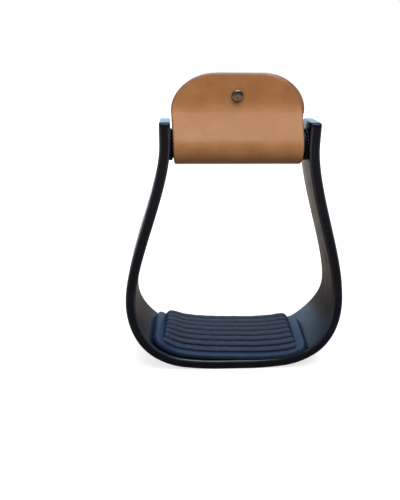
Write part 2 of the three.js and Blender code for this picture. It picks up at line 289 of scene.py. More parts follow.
def add_piece(name, grids, body, material, marks=None):
    """A smooth mesh of one or more closed bodies, each over a grid of points, riding on a CAD body.

    Row i of a grid is a ring that closes on itself and is joined to ring i + 1, and the first and
    the last ring are filled, unless they are the same. Doubles are merged, and the sign of each
    body's volume says whether its faces need turning outwards. Marks are values on the same grids,
    kept with the points for the material to read.
    """
    form = bmesh.new()
    for number, grid in enumerate(grids):
        rows, columns = grid.shape[:2]
        i, j = np.meshgrid(np.arange(rows - 1), np.arange(columns), indexing="ij")
        k = (j + 1) % columns
        faces = np.stack([i * columns + j, i * columns + k, (i + 1) * columns + k,
                          (i + 1) * columns + j], axis=-1).reshape(-1, 4).tolist()
        if not np.allclose(grid[0], grid[-1], atol=merge_distance):
            faces += [list(range(columns)), list(range((rows - 1) * columns, rows * columns))]
        shell = bpy.data.meshes.new(name)
        shell.from_pydata(grid.reshape(-1, 3), [], faces)
        for mark, values in (marks or {}).items():
            layer = shell.attributes.new(mark, "FLOAT", "POINT")
            layer.data.foreach_set("value", np.broadcast_to(values[number], (rows, columns)).ravel())
        closed = bmesh.new()
        closed.from_mesh(shell)
        bmesh.ops.remove_doubles(closed, verts=closed.verts, dist=merge_distance)
        bmesh.ops.recalc_face_normals(closed, faces=closed.faces)
        if closed.calc_volume(signed=True) < 0:
            bmesh.ops.reverse_faces(closed, faces=closed.faces)
        closed.to_mesh(shell)
        closed.free()
        form.from_mesh(shell)
        bpy.data.meshes.remove(shell)
    mesh = bpy.data.meshes.new(name)
    form.to_mesh(mesh)
    form.free()
    mesh.shade_smooth()
    mesh.materials.append(material)
    piece = bpy.data.objects.new(name, mesh)
    bpy.context.scene.collection.objects.link(piece)
    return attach(piece, body)


def strip_surface():
    """Rings round the strip, from the left arm's top to the right arm's top.

    Each ring is a rounded rectangle set square to the outer face. At the arm tops the rings draw
    in on two quarter circles, one of arm_top_radius in depth and one of arm_cap_radius in thickness.
    The mark `edge` is 1 along the middle of each rounded long edge.
    """
    straight = np.linspace(-1, 1, strip_rings) * (strip_half_length - arm_top_radius)
    angle = np.linspace(0, np.pi / 2, cap_steps)[1:]
    drawn = strip_half_length - arm_top_radius * (1 - np.sin(angle))
    along = np.concatenate([-drawn[::-1], straight, drawn])
    over = np.clip(np.abs(along) - strip_half_length + arm_top_radius, 0, arm_top_radius)
    depth_inset = arm_top_radius - np.sqrt(arm_top_radius ** 2 - over ** 2)
    over_cap = np.clip(np.abs(along) - strip_half_length + arm_cap_radius, 0, arm_cap_radius)
    cap_inset = arm_cap_radius - np.sqrt(arm_cap_radius ** 2 - over_cap ** 2)
    z = np.interp(np.abs(along), line_distance, line_z)
    half_reach = (strip_half_depth(z) - depth_inset)[:, None]
    half_rise = (strip_thickness / 2 - cap_inset)[:, None]
    rise, reach = rounded_ring(half_rise, half_reach, strip_edge_radius, edge_steps)
    edge = np.tile(np.sin(np.linspace(0, np.pi, edge_steps)), 4) * (over == 0)[:, None]
    return on_outer_face(along[:, None], reach, -strip_thickness / 2 - rise), {"edge": [edge]}


def new_group(name, inputs, outputs):
    """A shader node group with these sockets; returns it and its input and output sockets.

    Inputs are names with default values, a number, a colour of four or a vector of three, and
    outputs are names with such lengths.
    """
    group = bpy.data.node_groups.new(name, "ShaderNodeTree")
    kinds = {1: "NodeSocketFloat", 3: "NodeSocketVector", 4: "NodeSocketColor"}
    for key, value in inputs.items():
        socket = group.interface.new_socket(key, in_out="INPUT", socket_type=kinds[np.size(value)])
        socket.default_value = value
    for key, length in outputs.items():
        group.interface.new_socket(key, in_out="OUTPUT", socket_type=kinds[length])
    return (group, group.nodes.new("NodeGroupInput").outputs,
            group.nodes.new("NodeGroupOutput").inputs)


def texture_scale(group, size):
    """The socket of a texture's scale, one over the size of what it shows."""
    return add(group, "ShaderNodeMath", {0: 1.0, 1: size}, operation="DIVIDE").outputs[0]


def new_mottle():
    """Two colours clouded together by noise, with clouds of a size, and the cloud as a value."""
    group, given, made = new_group("mottle", {
        "Vector": (0, 0, 0), "Size": 0.01, "Softness": 0.5, "Dark": (0, 0, 0, 1),
        "Light": (1, 1, 1, 1)}, {"Color": 4, "Cloud": 1})
    noise = add(group, "ShaderNodeTexNoise", {
        "Vector": given["Vector"], "Scale": texture_scale(group, given["Size"]), "Detail": 5.0,
        "Roughness": given["Softness"]})
    cloud = scaled(group, noise.outputs["Fac"], start=0.3, end=0.7)
    group.links.new(blend_colour(group, cloud, given["Dark"], given["Light"]), made["Color"])
    group.links.new(cloud, made["Cloud"])
    return group


def new_grain():
    """Height of a pebbled surface: rounded cells, with a finer noise over them."""
    group, given, made = new_group("grain", {
        "Vector": (0, 0, 0), "Cell": 0.001, "Noise Size": 0.0005, "Noise Share": 0.4}, {"Height": 1})
    cells = add(group, "ShaderNodeTexVoronoi", {
        "Vector": given["Vector"], "Scale": texture_scale(group, given["Cell"]), "Smoothness": 0.6},
        feature="SMOOTH_F1")
    noise = add(group, "ShaderNodeTexNoise", {
        "Vector": given["Vector"], "Scale": texture_scale(group, given["Noise Size"]), "Detail": 3.0})
    height = add(group, "ShaderNodeMix", {
        "Factor": given["Noise Share"], "A": cells.outputs["Distance"], "B": noise.outputs["Fac"]})
    group.links.new(height.outputs[0], made["Height"])
    return group


def new_specks():
    """A mask of scattered round specks, for dust and lint: one to a cell, and only some kept."""
    group, given, made = new_group("specks", {
        "Vector": (0, 0, 0), "Spacing": 0.004, "Radius Share": 0.1, "Kept": 0.5}, {"Mask": 1})
    cells = add(group, "ShaderNodeTexVoronoi", {
        "Vector": given["Vector"], "Scale": texture_scale(group, given["Spacing"])})
    dot = add(group, "ShaderNodeMath", {0: cells.outputs["Distance"], 1: given["Radius Share"]},
              operation="LESS_THAN")
    chance = add(group, "ShaderNodeSeparateColor", {0: cells.outputs["Color"]})
    picked = add(group, "ShaderNodeMath", {0: chance.outputs[0], 1: given["Kept"]},
                 operation="LESS_THAN")
    group.links.new(multiplied(group, dot.outputs[0], picked.outputs[0]), made["Mask"])
    return group


def kept_mark(tree, name):
    """The socket of a value that was kept with the mesh's points."""
    return add(tree, "ShaderNodeAttribute", attribute_name=name).outputs["Fac"]


def shared(tree, group, place, **values):
    """The outputs of a shared group placed in a material, with inputs by name, and _ for a space."""
    inputs = {key.replace("_", " "): value for key, value in values.items()}
    return add(tree, "ShaderNodeGroup", {"Vector": place, **inputs}, node_tree=group).outputs


def finish_material(tree, shader, colour, roughness, height, depth):
    """Feeds the shader its colour, its roughness and, through a bump of that depth, its height."""
    tree.links.new(colour, shader.inputs["Base Color"])
    tree.links.new(roughness, shader.inputs["Roughness"])
    bump = add(tree, "ShaderNodeBump", {"Height": height, "Distance": depth, "Strength": 1.0})
    tree.links.new(bump.outputs[0], shader.inputs["Normal"])


mottle, grain, specks = new_mottle(), new_grain(), new_specks()


def new_black_coat():
    """Satin black enamel over aluminium, a little dusty, and rubbed greyer on the long edges."""
    rubbed_grey, dust_grey = (0.03, 0.031, 0.034, 1), (0.09, 0.085, 0.08, 1)
    peel_depth = 0.012 * mm
    material, tree, shader = new_material("black_coat", Specular_IOR_Level=0.15, Coat_Roughness=0.18)
    place = add(tree, "ShaderNodeTexCoord").outputs["Object"]
    enamel = shared(tree, mottle, place, Size=9 * mm, Dark=(0.0008, 0.0018, 0.0058, 1),
                    Light=(0.0018, 0.0040, 0.0105, 1))
    fine = shared(tree, mottle, place, Size=0.9 * mm, Softness=0.7)["Cloud"]
    edge = kept_mark(tree, "edge")
    colour = blend_colour(tree, multiplied(tree, edge, fine), enamel["Color"], rubbed_grey)
    dust = shared(tree, specks, place, Spacing=3.2 * mm, Radius_Share=0.06, Kept=0.3)["Mask"]
    colour = blend_colour(tree, dust, colour, dust_grey)
    peel = shared(tree, grain, place, Cell=1.1 * mm, Noise_Size=0.3 * mm, Noise_Share=0.5)["Height"]
    tree.links.new(scaled(tree, edge, high=0.6), shader.inputs["Coat Weight"])
    gloss = scaled(tree, enamel["Cloud"], low=0.26, high=0.36)
    finish_material(tree, shader, colour, gloss, peel, peel_depth)
    return material


black_coat = new_black_coat()
strip_points, strip_marks = strip_surface()
strip = add_piece("engraved_strip", [strip_points], "frame", black_coat, strip_marks)
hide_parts("frame")


# The engraving: cuts through the coat into bright aluminium on the outer faces of both arms. A
# border of wriggle cuts frames a winding vine of them, with curled leaves in its bends. Here the
# cuts are low bright ridges.
cut_rise = 0.06 * mm
cut_sink = 0.03 * mm
wriggle_cut = 0.4 * mm
wriggle_turn_share = 0.4
wriggle_steps = 8
border_inset = 2.7 * mm
border_half_width = 1.15 * mm
border_pitch = 2.3 * mm
band_rows = (2.8 * mm, 4.8 * mm)
band_half_width = 0.95 * mm
band_pitch = 1.15 * mm
panel_top = 7 * mm
panel_margin = 4.6 * mm
bend_length = 30 * mm
bend_count = 5
tail_room_share = 0.25
vine_wave = 1.05 * mm
vine_pitch = 2.1 * mm
arch_share = 0.28
branch_share, branch_lead_share, branch_start_share = 0.47, 0.06, 0.4
root_gap_share = 0.01
border_points, band_points, vine_points = 400, 40, 1600
leaf_shares = [(0.76, 0.045, 0.65, 0.23), (0.98, 0.16, 0.69, 0.19), (1.06, 0.19, 0.49, 0.17)]
leaf_leans = np.radians([10.5, 9.7, 7.2])
leaf_back = [(0, 0), (-0.42, 0.25), (-0.8, 0.8), (0.2, 1)]
leaf_tip = [(0.2, 1), (0.55, 1.05), (0.6, 0.88), (0.34, 0.68)]
leaf_body = [(0.03, 0.03), (-0.14, 0.3), (-0.26, 0.58), (0.02, 0.84)]
leaf_points, tip_points = 24, 12
back_swell, back_lateness, back_fullness = 0.14, 1.7, 0.75
body_swell, body_lateness, body_fullness = 0.29, 1.4, 0.8
spare_cut_shares = [
    (0.76, 0.96, 0.232, 0.222), (0.52, 0.75, -0.205, -0.205), (0.77, 0.96, -0.1, -0.205)]
spare_cut_width_share = 0.02
spare_cut_points = 12
panel_length = bend_length * (bend_count + tail_room_share)


def half_depth_down(down):
    """Half the strip's depth at a distance down its outer face from the arm's top."""
    return strip_half_depth(np.interp(strip_half_length - down, line_distance, line_z))


def panel_spread(down):
    """How wide the panel of leaves is at a distance down, as a share of its width at the top."""
    return (half_depth_down(down) - panel_margin) / (half_depth_down(0) - panel_margin)


def cut_rings(side, down, across, half_width):
    """Rings round one cut along a line down and across the outer face of an arm.

    A ring has five points over the width, raised by a parabola from just under the face, and one
    point sunk below them.
    """
    step = np.stack([np.gradient(down), np.gradient(across)])
    step /= np.hypot(*step)
    share = np.array([-1, -0.5, 0, 0.5, 1, 0])
    out = cut_rise * (1 - share ** 2) - cut_sink * share ** 2
    out[-1] = -2 * cut_sink
    aside = share * half_width[:, None]
    return on_outer_face(side * (strip_half_length - down[:, None] + step[1][:, None] * aside),
                         across[:, None] + step[0][:, None] * aside, out)


def wriggle(side, down, across, wave, pitch):
    """A cut that zigzags from side to side of a course in straight strokes.

    It is widest as it crosses the course, narrow at the turns, and pointed at both ends.
    """
    distance = np.concatenate([[0], np.cumsum(np.hypot(np.diff(down), np.diff(across)))])
    whole = np.round(distance[-1] / pitch)
    place = np.linspace(0, distance[-1], int(whole) * wriggle_steps + 1)
    down, across = np.interp(place, distance, down), np.interp(place, distance, across)
    step = np.stack([np.gradient(down), np.gradient(across)])
    step /= np.hypot(*step)
    phase = 2 * np.pi * whole * place / distance[-1]
    aside = wave * np.arcsin(np.sin(phase)) * 2 / np.pi
    half_width = wriggle_cut * (wriggle_turn_share
                                + (1 - wriggle_turn_share) * np.abs(np.cos(phase)))
    half_width[[0, -1]] = 0
    return cut_rings(side, down - step[1] * aside, across + step[0] * aside, half_width)


def bezier(points, steps):
    """Points on a cubic curve with these four handles."""
    k = np.linspace(0, 1, steps)[:, None]
    first, second, third, last = np.array(points)
    return ((1 - k) ** 3 * first + 3 * (1 - k) ** 2 * k * second + 3 * (1 - k) * k ** 2 * third
            + k ** 3 * last)


def leaf(side, down, across, length, width, lean, hand):
    """A curled leaf: the cut round its back and over its tip, and the shaded body within.

    Its handles are shares of its width and length, from the tail up; it leans by an angle, and a
    hand of 1 or -1 says which way it curls. Both cuts swell by a share of its width, times the sine
    of half a turn taken to a power of the distance (its lateness), to the power of its fullness.
    """
    back = np.concatenate([bezier(leaf_back, leaf_points), bezier(leaf_tip, tip_points)[1:]])
    body = bezier(leaf_body, leaf_points)
    rings = []
    for line, swell, lateness, fullness in ((back, back_swell, back_lateness, back_fullness),
                                            (body, body_swell, body_lateness, body_fullness)):
        half_width = swell * width * np.sin(
            np.pi * np.linspace(0, 1, len(line)) ** lateness) ** fullness
        u = hand * (line[:, 0] * width * np.cos(lean) - line[:, 1] * length * np.sin(lean))
        v = line[:, 1] * length * np.cos(lean) + line[:, 0] * width * np.sin(lean)
        rings.append(cut_rings(side, down - v, (across + u) * panel_spread(down - v), half_width))
    return rings


def bend(side, index):
    """The cuts of one bend of the vine: its three leaves, each lower than the last, and spare cuts.

    A leaf's shares of the bend's length say how far down and across its tail is, how long it is
    and how wide. A spare cut's say where it starts and ends down, and then across.
    """
    hand = 1 if index % 2 == 0 else -1
    top = panel_top + index * bend_length
    bright, shaded = [], []
    for (down, across, length, width), lean in zip(leaf_shares, leaf_leans):
        back, body = leaf(side, top + down * bend_length, hand * across * bend_length,
                          length * bend_length, width * bend_length, lean, hand)
        bright.append(back)
        shaded.append(body)
    for start, end, near, far in spare_cut_shares:
        down = top + np.linspace(start, end, spare_cut_points) * bend_length
        across = hand * np.linspace(near, far, spare_cut_points) * panel_spread(down) * bend_length
        swell = np.sin(np.linspace(0, np.pi, spare_cut_points))
        bright.append(cut_rings(side, down, across, spare_cut_width_share * bend_length * swell))
    return bright, shaded


def stem(start, end, root):
    """Down and across, for a stem of the vine that leaves the root and arches over to one side.

    It goes out by a quarter oval, arch_share of a bend long, and then swings back and on from side
    to side by a cosine, with half a wave to each bend. Start and end are numbers of bends, and the
    root is a share of the room across.
    """
    share = np.linspace(0, end - start, vine_points)
    oval = np.sqrt(1 - np.clip(1 - share / arch_share, 0, None) ** 2)
    swing = np.cos(np.pi * np.clip(share - arch_share, 0, None))
    down = panel_top + (start + share) * bend_length
    room = half_depth_down(down) - panel_margin - vine_wave
    return down, room * (root + (1 - root) * oval) * swing


def arm_engraving(side):
    """All the cuts on one arm: wriggled ones, and the bright and shaded ones of the leaves."""
    wriggled, bright, shaded = [], [], []
    down = np.linspace(band_rows[0], panel_top + panel_length, border_points)
    for edge in (-1, 1):
        across = edge * (half_depth_down(down) - border_inset)
        wriggled.append(wriggle(side, down, across, border_half_width, border_pitch))
    for row in (*band_rows, panel_top + panel_length):
        reach = half_depth_down(row) - border_inset - border_half_width - wriggle_cut
        across = np.linspace(-reach, reach, band_points)
        wriggled.append(wriggle(side, np.full(band_points, row), across, band_half_width, band_pitch))
    down, across = stem(0, bend_count + tail_room_share, 0)
    wriggled.append(wriggle(side, down, -across, vine_wave, vine_pitch))
    for index in range(bend_count):
        hand = 1 if index % 2 == 0 else -1
        start = index - branch_lead_share if index else root_gap_share
        root = -branch_start_share if index else 0
        down, across = stem(start, start + branch_share, root)
        wriggled.append(wriggle(side, down, hand * across, vine_wave, vine_pitch))
        leaves, bodies = bend(side, index)
        bright += leaves
        shaded += bodies
    return wriggled, bright, shaded


def new_bright_cut(name, dark, light, low, high):
    """Bare aluminium in the cuts, streaked by the graver, clouded between two greys.

    Low and high are the least and the most roughness.
    """
    streak_stretch = (1, 1, 0.25)
    scratch_depth = 0.01 * mm
    material, tree, shader = new_material(name, Metallic=1.0)
    place = add(tree, "ShaderNodeTexCoord").outputs["Object"]
    drawn = add(tree, "ShaderNodeMapping", {"Vector": place, "Scale": streak_stretch}).outputs[0]
    streaks = shared(tree, mottle, drawn, Size=0.7 * mm, Softness=0.7, Dark=dark, Light=light)
    scratch = shared(tree, grain, drawn, Cell=0.5 * mm, Noise_Size=0.2 * mm, Noise_Share=0.6)["Height"]
    finish_material(tree, shader, streaks["Color"], scaled(tree, streaks["Cloud"], low, high),
                    scratch, scratch_depth)
    return material


bright_cut = new_bright_cut(
    "bright_cut", dark=(0.55, 0.56, 0.6, 1), light=(0.86, 0.87, 0.9, 1), low=0.2, high=0.42)
shaded_cut = new_bright_cut(
    "shaded_cut", dark=(0.1, 0.1, 0.11, 1), light=(0.5, 0.49, 0.49, 1), low=0.35, high=0.6)
wriggled_cut = new_bright_cut(
    "wriggled_cut", dark=(0.34, 0.34, 0.37, 1), light=(0.66, 0.66, 0.7, 1), low=0.3, high=0.5)
for side, name in ((-1, "left"), (1, "right")):
    wriggled, bright, shaded = arm_engraving(side)
    add_piece("wriggle_cuts_" + name, wriggled, "frame", wriggled_cut)
    add_piece("leaf_cuts_" + name, bright, "frame", bright_cut)
    add_piece("leaf_shading_" + name, shaded, "frame", shaded_cut)


# The bar: a plain round of aluminium between the arm tops, coated with the strip and hidden by
# the leather but for its ends.
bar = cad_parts["top_bar"]
bar.data.materials.clear()
bar.data.materials.append(black_coat)
bar_low, bar_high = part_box("top_bar")
bar_radius = (bar_high.z - bar_low.z) / 2
bar_height = (bar_high.z + bar_low.z) / 2


# The welds: a rippled bead run round each end of the bar, where it meets the arm, under the same
# black coat. Each ripple is one drop of the welding rod.
bead_radius = 1.0 * mm
bead_clear_of_bar, bead_clear_of_arm = 0.3 * bead_radius, -0.15 * bead_radius
bead_ripple = 0.14 * mm
ripple_count = 26
slow_ripple_count, slow_ripple_share = 3, 0.8
ripple_steps, bead_steps = 8, 12


def bead_surface(hand):
    """Rings round a bead that circles the bar against one arm's inner face.

    The bead's radius swells and falls with a sine of the angle round the bar, and more slowly with
    another, as the hand that laid it sped up and slowed down. The two beads start elsewhere on both.
    """
    around = np.linspace(0, 2 * np.pi, ripple_count * ripple_steps + 1)[:, None]
    section = np.linspace(0, 2 * np.pi, bead_steps, endpoint=False)
    slow_ripple = slow_ripple_share * np.sin(slow_ripple_count * around + 2 * hand)
    radius = bead_radius + bead_ripple * (np.sin(ripple_count * around + hand) + slow_ripple)
    reach = bar_radius + bead_clear_of_bar + radius * np.cos(section)
    x = hand * (neck_half + bead_clear_of_arm - radius * np.sin(section))
    return np.stack(np.broadcast_arrays(x, reach * np.sin(around), bar_height + reach * np.cos(around)),
                    axis=-1)


for hand, name in ((-1, "left"), (1, "right")):
    bead = add_piece("rippled_weld_" + name, [bead_surface(hand)], "frame", black_coat)
    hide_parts("weld_bead_" + name)


# The leather wrap: one strap of saddle leather, folded round the bar so that both ends stand up
# as flaps. It lies a little skew on the bar, and its cut edges are rounded and burnished.
_, strap_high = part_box("leather_wrap")
strap_half = strap_high.x
flap_top = strap_high.z - bar_height
leather_thickness = 3.3 * mm
leather_gap = 0.3 * mm
flap_gap = 0.5 * mm
flap_meet_height = 25.4 * mm
flap_bend_radius = 20 * mm
flap_corner_rise = 22 * mm
flap_corner_reach = 26 * mm
leather_edge_radius = 1.0 * mm
front_skew, rear_skew = 2.0 * mm, 0.7 * mm
dimple_depth = 0.2 * mm
dimple_radius = 6 * mm
flap_steps, strap_steps, rim_steps = 40, 150, 6
side_share, side_steps, across_steps = 0.06, 10, 90
cut_mark_width = 1.6 * mm
screw_low, screw_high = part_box("screw_post")
screw_x = (screw_low.x + screw_high.x) / 2
screw_z = (screw_low.z + screw_high.z) / 2

wrap_radius = bar_radius + leather_gap + leather_thickness / 2
flap_offset = flap_gap / 2 + leather_thickness / 2
bend_y = flap_offset + flap_bend_radius
both_radii = wrap_radius + flap_bend_radius
lean_length = np.sqrt(bend_y ** 2 + flap_meet_height ** 2 - both_radii ** 2)
wrap_turn = np.arctan2(flap_meet_height, bend_y) + np.arctan2(both_radii, lean_length)
lean_start = wrap_radius * wrap_turn
bend_start = lean_start + lean_length
flap_start = bend_start + flap_bend_radius * (wrap_turn - np.pi / 2)
strap_half_length = flap_start + flap_top - flap_meet_height


def wrap_line(along):
    """Middle line of the strap at a distance from under the bar: y, z above the bar's axis, and turn.

    It runs round the bar, up a leaning straight, through a reverse bend and up the flap, on the rear
    side for positive distances and the front side for negative ones.
    """
    far = np.abs(along)
    round_bar = far / wrap_radius
    past_lean = far - lean_start
    bend_turn = wrap_turn - (far - bend_start) / flap_bend_radius
    stretches = [far <= lean_start, far <= bend_start, far <= flap_start]
    y = np.select(stretches, [
        wrap_radius * np.sin(round_bar),
        wrap_radius * np.sin(wrap_turn) + past_lean * np.cos(wrap_turn),
        bend_y - flap_bend_radius * np.sin(bend_turn)], flap_offset)
    z = np.select(stretches, [
        -wrap_radius * np.cos(round_bar),
        -wrap_radius * np.cos(wrap_turn) + past_lean * np.sin(wrap_turn),
        flap_meet_height + flap_bend_radius * np.cos(bend_turn)],
        flap_meet_height + far - flap_start)
    turn = np.select(stretches, [round_bar, np.full_like(far, wrap_turn), bend_turn], np.pi / 2)
    return np.where(along < 0, -y, y), z, np.where(along < 0, -turn, turn)


def close_to_ends(half, near, fine, coarse):
    """Places from -half to half: `fine` near each end, on a quarter circle, and `coarse` between."""
    end = half - near + near * np.sin(np.linspace(0, np.pi / 2, fine))
    middle = np.linspace(-(half - near), half - near, coarse)[1:-1]
    return np.concatenate([-end[::-1], middle, end])


def strap_surface():
    """Both faces of the strap, as rings round it from the front flap's top to the rear's, and marks.

    A row across the strap is as wide as its outline there, a rectangle with quarter ovals for its
    corners. The half thickness is full inside and falls on a quarter circle to nothing at the
    outline. The middle line is shifted sideways by a parabola of the distance along it, which skews
    the strap on the bar, and both flaps are pressed in round the screw by a bell curve. The marks
    are `cut`, 1 at the cut edge and 0 inside it, and `fold`, the distance along as a share of the
    strap's half length.
    """
    rim = np.sin(np.linspace(0, np.pi / 2, rim_steps))
    near_end = strap_half_length - leather_edge_radius * (1 - rim)
    along = np.concatenate([close_to_ends(strap_half_length, flap_corner_rise, flap_steps, strap_steps),
                            near_end, -near_end])
    along = np.unique(along)[:, None]
    inward = strap_half_length - np.abs(along)
    into = np.clip(1 - inward / flap_corner_rise, 0, None)
    width = strap_half - flap_corner_reach * (1 - np.sqrt(1 - into ** 2))
    reach = close_to_ends(1.0, side_share, side_steps, across_steps)[None, :] * width
    corner_rise = np.clip(flap_corner_rise - inward, 0, None)
    corner_reach = np.clip(np.abs(reach) - strap_half + flap_corner_reach, 0, None)
    oval = np.hypot(corner_rise / flap_corner_rise, corner_reach / flap_corner_reach)
    edge_distance = np.where(
        (corner_rise > 0) & (corner_reach > 0),
        np.hypot(corner_rise, corner_reach) * (1 / np.maximum(oval, 0.001) - 1),
        np.minimum(inward, strap_half - np.abs(reach)))
    inside = np.clip(edge_distance / leather_edge_radius, 0, 1)
    half = leather_thickness / 2 * np.sqrt(1 - (1 - inside) ** 2)
    y, z, turn = wrap_line(along)
    share = np.clip(along / flap_start, -1, 1)
    across = reach + (rear_skew + front_skew) / 2 * share + (rear_skew - front_skew) / 2 * share ** 2
    from_screw = np.hypot(across - screw_x, z + bar_height - screw_z)
    dimple = np.sign(along) * dimple_depth * np.exp(-(from_screw / dimple_radius) ** 2)
    faces = [np.stack(np.broadcast_arrays(
        across, y - dimple - rise * np.sin(turn), bar_height + z + rise * np.cos(turn)), axis=-1)
        for rise in (half, -half)]
    cut = np.clip(1 - edge_distance / cut_mark_width, 0, 1)
    fold = np.broadcast_to(np.abs(along) / strap_half_length, cut.shape)
    return (np.concatenate([faces[0], faces[1][:, ::-1]], axis=1),
            {"cut": [np.concatenate([cut, cut[:, ::-1]], axis=1)],
             "fold": [np.concatenate([fold, fold], axis=1)]})


def new_saddle_leather():
    """Smooth vegetable tanned leather, browner on the flaps and dark at its burnished cuts, with
    painted light in its colour: a paler tan from round the bar up the leaning stretch, a painted
    highlight where that stretch faces up, and painted shade, a darker brown, on the stretch under the
    bar.
    """
    # The darker brown is painted shade for the stretch under the bar, where the strap turns down away
    # from the light; the burnished brown is the cut edges' own colour.
    painted_shade_brown, burnished_brown = (0.15, 0.06, 0.024, 1), (0.19, 0.075, 0.04, 1)
    pore_share, pebble_depth = 0.8, 0.03 * mm
    # Painted highlight: the paler tan rises round the bar and fades out below the flap, over the
    # leaning stretch that faces up to the light.
    painted_light_rise = (0.75 * lean_start, lean_start + 2 * mm)
    painted_light_fall = (flap_start + 5 * mm, bend_start - 11 * mm)
    painted_shade_fade, painted_shade_most = (0.09, 0.24), 0.85
    burnish_rise = (0.3, 0.8)
    material, tree, shader = new_material("saddle_leather", Specular_IOR_Level=0.35)
    place = add(tree, "ShaderNodeTexCoord").outputs["Object"]
    tan = shared(tree, mottle, place, Size=13 * mm, Dark=(0.37, 0.155, 0.05, 1),
                 Light=(0.48, 0.215, 0.077, 1))["Color"]
    # A paler, pinker tan, painted as light on the upturned leaning stretch.
    painted_light_tan = shared(tree, mottle, place, Size=16 * mm, Dark=(0.41, 0.195, 0.09, 1),
                   Light=(0.49, 0.25, 0.125, 1))["Color"]
    fold = kept_mark(tree, "fold")
    past_bar, before_flap = (eased(tree, fold, start / strap_half_length, end / strap_half_length)
                             for start, end in (painted_light_rise, painted_light_fall))
    # Painted highlight over the leaning stretch.
    colour = blend_colour(tree, multiplied(tree, past_bar, before_flap), tan, painted_light_tan)
    # Painted shade: darker towards the bottom of the wrap, under the bar.
    under = eased(tree, fold, *painted_shade_fade, low=painted_shade_most, high=0.0)
    colour = blend_colour(tree, under, colour, painted_shade_brown)
    pores = shared(tree, mottle, place, Size=0.8 * mm, Softness=0.8,
                   Dark=(0.86, 0.84, 0.82, 1))["Color"]
    colour = add(tree, "ShaderNodeMix", {0: pore_share, 6: colour, 7: pores},
                 data_type="RGBA", blend_type="MULTIPLY").outputs[2]
    burnish = eased(tree, kept_mark(tree, "cut"), *burnish_rise)
    colour = blend_colour(tree, burnish, colour, burnished_brown)
    pebble = shared(tree, grain, place, Cell=0.8 * mm, Noise_Size=0.35 * mm, Noise_Share=0.45)["Height"]
    sheen = shared(tree, mottle, place, Size=5 * mm)["Cloud"]
    finish_material(tree, shader, colour, scaled(tree, sheen, low=0.4, high=0.52), pebble, pebble_depth)
    return material


saddle_leather = new_saddle_leather()
strap_points, strap_marks = strap_surface()
strap = add_piece("leather_strap", [strap_points], "leather", saddle_leather, strap_marks)
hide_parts("leather_wrap")


# The two-part screw: a flat-domed, nickelled post in front and a slotted screw behind, turned from
# brass, which clamp the flaps together.
head_radius = 3.5 * mm
head_thickness = 1.5 * mm
head_edge = 0.5 * mm
barrel_radius = 2.1 * mm
recess_radius = 2.3 * mm
recess_depth = 0.4 * mm
slot_half_width = 0.45 * mm
slot_depth = 0.6 * mm
slot_wall = 0.06 * mm
dome_power = 4
screw_steps, dome_rings, flat_rings, rim_rings = 96, 30, 70, 10
flap_face = flap_gap / 2 + leather_thickness - dimple_depth


def turned(radius, height, side):
    """Rings round the screw's axis, from radii and heights along it; the side is -1 in front."""
    angle = np.linspace(0, 2 * np.pi, screw_steps, endpoint=False)
    return np.stack(np.broadcast_arrays(screw_x + radius[:, None] * np.cos(angle),
                                        side * height[:, None],
                                        screw_z + radius[:, None] * np.sin(angle)), axis=-1)


def post_surface():
    """The post: its head falls from the middle by a power of the radius to a round rim.

    The barrel goes back from the head through both flaps, to just inside the other head.
    """
    k = np.sin(np.linspace(0, np.pi / 2, dome_rings))
    fall = head_edge + (head_thickness - head_edge) * np.sqrt(1 - k ** dome_power)
    barrel_end = head_edge - 2 * flap_face
    radius = np.concatenate([k * head_radius, [head_radius, barrel_radius, barrel_radius, 0]])
    height = flap_face + np.concatenate([fall, [0, 0, barrel_end, barrel_end]])
    return turned(radius, height, -1)


def screw_surface():
    """The screw: a flat head with a round rim and a dished middle, cut across by a straight slot.

    The dish and the slot are steps of their own depth, eased over a narrow wall.
    """
    rim = np.linspace(0, np.pi / 2, rim_rings)[1:]
    flat = np.linspace(0, head_radius - head_edge, flat_rings)
    radius = np.concatenate([flat, head_radius - head_edge * (1 - np.sin(rim)), [head_radius, 0]])
    height = flap_face + np.concatenate([
        np.full(flat_rings, head_thickness), head_thickness - head_edge * (1 - np.cos(rim)), [0, 0]])
    rings = turned(radius, height, 1)
    face = rings[:flat_rings]
    from_axis = np.hypot(face[:, :, 0] - screw_x, face[:, :, 2] - screw_z)
    dish = np.clip((recess_radius - from_axis) / slot_wall, 0, 1)
    slot = np.clip((slot_half_width - np.abs(face[:, :, 2] - screw_z)) / slot_wall, 0, 1)
    face[:, :, 1] -= (recess_depth + slot_depth * slot) * dish
    return rings


def new_nickel_plate():
    """Nickel over brass, finely scratched; its colour is darkened to clouded browns, a painted dark
    reflection.
    """
    scratch_depth = 0.008 * mm
    material, tree, shader = new_material("nickel_plate", Metallic=1.0)
    place = add(tree, "ShaderNodeTexCoord").outputs["Object"]
    # Painted reflection: dark browns stand in for the dark surroundings that the polished heads mirror;
    # the same cloud sets the roughness.
    painted_reflection_tone = shared(tree, mottle, place, Size=2.5 * mm, Dark=(0.13, 0.085, 0.055, 1),
                   Light=(0.21, 0.15, 0.11, 1))
    scratch = shared(tree, grain, place, Cell=0.35 * mm, Noise_Size=0.12 * mm,
                     Noise_Share=0.7)["Height"]
    finish_material(tree, shader, painted_reflection_tone["Color"], scaled(tree, painted_reflection_tone["Cloud"], low=0.28, high=0.2),
                    scratch, scratch_depth)
    return material


nickel = new_nickel_plate()
for name, node, rings in (("domed_post", "screw_post", post_surface()),
                          ("slotted_screw", "screw", screw_surface())):
    part = add_piece(name, [rings], "leather", nickel)
    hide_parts(node)


